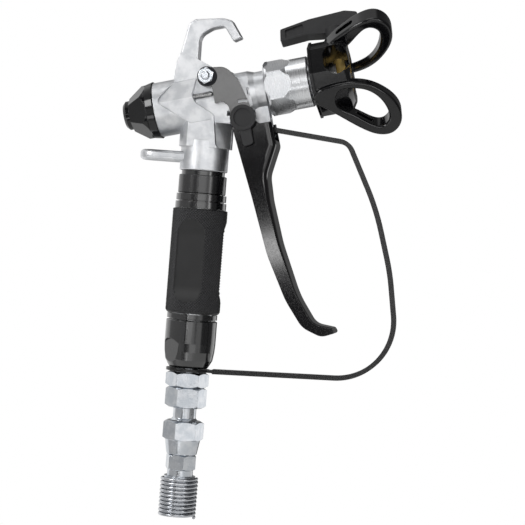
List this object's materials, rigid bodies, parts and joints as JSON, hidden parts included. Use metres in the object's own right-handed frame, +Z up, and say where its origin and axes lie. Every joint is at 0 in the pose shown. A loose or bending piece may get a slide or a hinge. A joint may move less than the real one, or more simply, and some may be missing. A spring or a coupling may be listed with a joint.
{
  "type": "airless paint spray gun",
  "caption": "Hand-held airless paint spray gun with hanging hook, sprung trigger and lock, wire-bar trigger guard, reversing tip in a looped guard, ringed grip and inlet swivel.",
  "frame": {"origin": "on the gun's middle plane, where a rim or peg bears on the underside of the hanging hook", "axes": "+X forward along the barrel in the spray direction, +Z up, +Y to the gun's left side"},
  "size_m": [0.1881, 0.046, 0.2956],
  "materials": {
    "cast_aluminium": "bright tumbled die casting",
    "machined_aluminium": "bright turned",
    "black_gloss_nylon": "glossy moulded, glass filled",
    "black_matte_nylon": "fine matte moulded",
    "rubber": "matte",
    "white_ptfe": "smooth",
    "spring_steel": "bright drawn wire",
    "stainless": "turned",
    "carbide": "ground",
    "zinc_steel": "bluish zinc plate",
    "black_washer": "dark oxide",
    "black_bar": "semi-gloss powder coat",
    "black_trigger": "glossy black enamel on cast metal",
    "black_anodised": "satin black anodised",
    "black_ring": "satin black, bare of any marking",
    "black_knurl": "knurled, matte black",
    "screen_mesh": "woven wire, as a plain sleeve",
    "brass": "turned"
  },
  "bodies": {
    "gun_frame": {"gun_body": "cast_aluminium", "rear_cap": "black_gloss_nylon", "cap_seal": "rubber", "needle_spring": "spring_steel", "packing_nut": "stainless", "needle_packing": "white_ptfe", "front_housing": "machined_aluminium", "seat_gasket": "white_ptfe", "diffuser": "stainless", "valve_seat": "carbide", "pivot_bolt": "zinc_steel", "pivot_nut": "zinc_steel", "pivot_washers": "black_washer", "trigger_guard": "black_bar", "guard_screw": "zinc_steel", "handle_tube": "machined_aluminium", "handle_collar": "black_anodised", "rating_ring": "black_ring", "grip_sleeve": "black_knurl", "lower_ring": "black_anodised", "end_bell": "black_anodised", "filter_core": "stainless", "filter_screen": "screen_mesh", "filter_cap": "black_matte_nylon", "filter_spring": "spring_steel", "handle_seals": "rubber", "jam_nut": "zinc_steel", "swivel_stem": "zinc_steel", "swivel_seals": "rubber", "swivel_ring": "spring_steel"},
    "trigger_lever": {"trigger": "black_trigger"},
    "needle_unit": {"needle_carrier": "stainless", "needle_rod": "stainless", "needle_ball": "carbide", "needle_nut": "stainless", "push_pins": "stainless"},
    "lock_lever": {"lock_spindle": "zinc_steel", "lock_knobs": "black_matte_nylon"},
    "tip_guard_unit": {"guard_nut": "black_gloss_nylon", "tip_guard": "black_gloss_nylon", "tip_gasket": "rubber", "tip_seal": "stainless"},
    "tip_unit": {"tip_barrel": "brass", "tip_carbide": "carbide", "tip_handle": "black_matte_nylon"},
    "hose_end": {"swivel_body": "zinc_steel", "hose_fitting": "zinc_steel", "hose_ferrule": "zinc_steel", "spring_guard": "spring_steel"}
  },
  "joints": [
    {"name": "trigger_pull", "type": "hinge", "parent": "gun_frame", "child": "trigger_lever", "pos_m": [-0.0077, 0, -0.0288], "axis": [0, 1, 0], "range_deg": [0, 13], "stiffness_Nm_per_rad": 3, "springref_deg": -14.32},
    {"name": "needle_slide", "type": "slide", "parent": "gun_frame", "child": "needle_unit", "axis": [-1, 0, 0], "range_m": [0, 0.0025], "deforming": ["needle_spring"]},
    {"name": "lock_turn", "type": "hinge", "parent": "trigger_lever", "child": "lock_lever", "pos_m": [0.0098, 0, -0.0572], "axis": [0, 1, 0], "range_deg": [0, 90]},
    {"name": "guard_turn", "type": "hinge", "parent": "gun_frame", "child": "tip_guard_unit", "pos_m": [0.0649, 0, -0.0416], "axis": [1, 0, 0], "range_deg": [-90, 90]},
    {"name": "tip_turn", "type": "hinge", "parent": "tip_guard_unit", "child": "tip_unit", "pos_m": [0.0701, 0, -0.0416], "axis": [0, -0.4384, -0.8988], "range_deg": [0, 180]},
    {"name": "swivel_spin", "type": "hinge", "parent": "gun_frame", "child": "hose_end", "pos_m": [-0.06173, 0, -0.24025], "axis": [-0.247, 0, -0.969], "continuous": true}
  ],
  "couplings": [
    {"joint": "needle_slide", "follows": "trigger_pull", "m_per_rad": 0.0104}
  ]
}
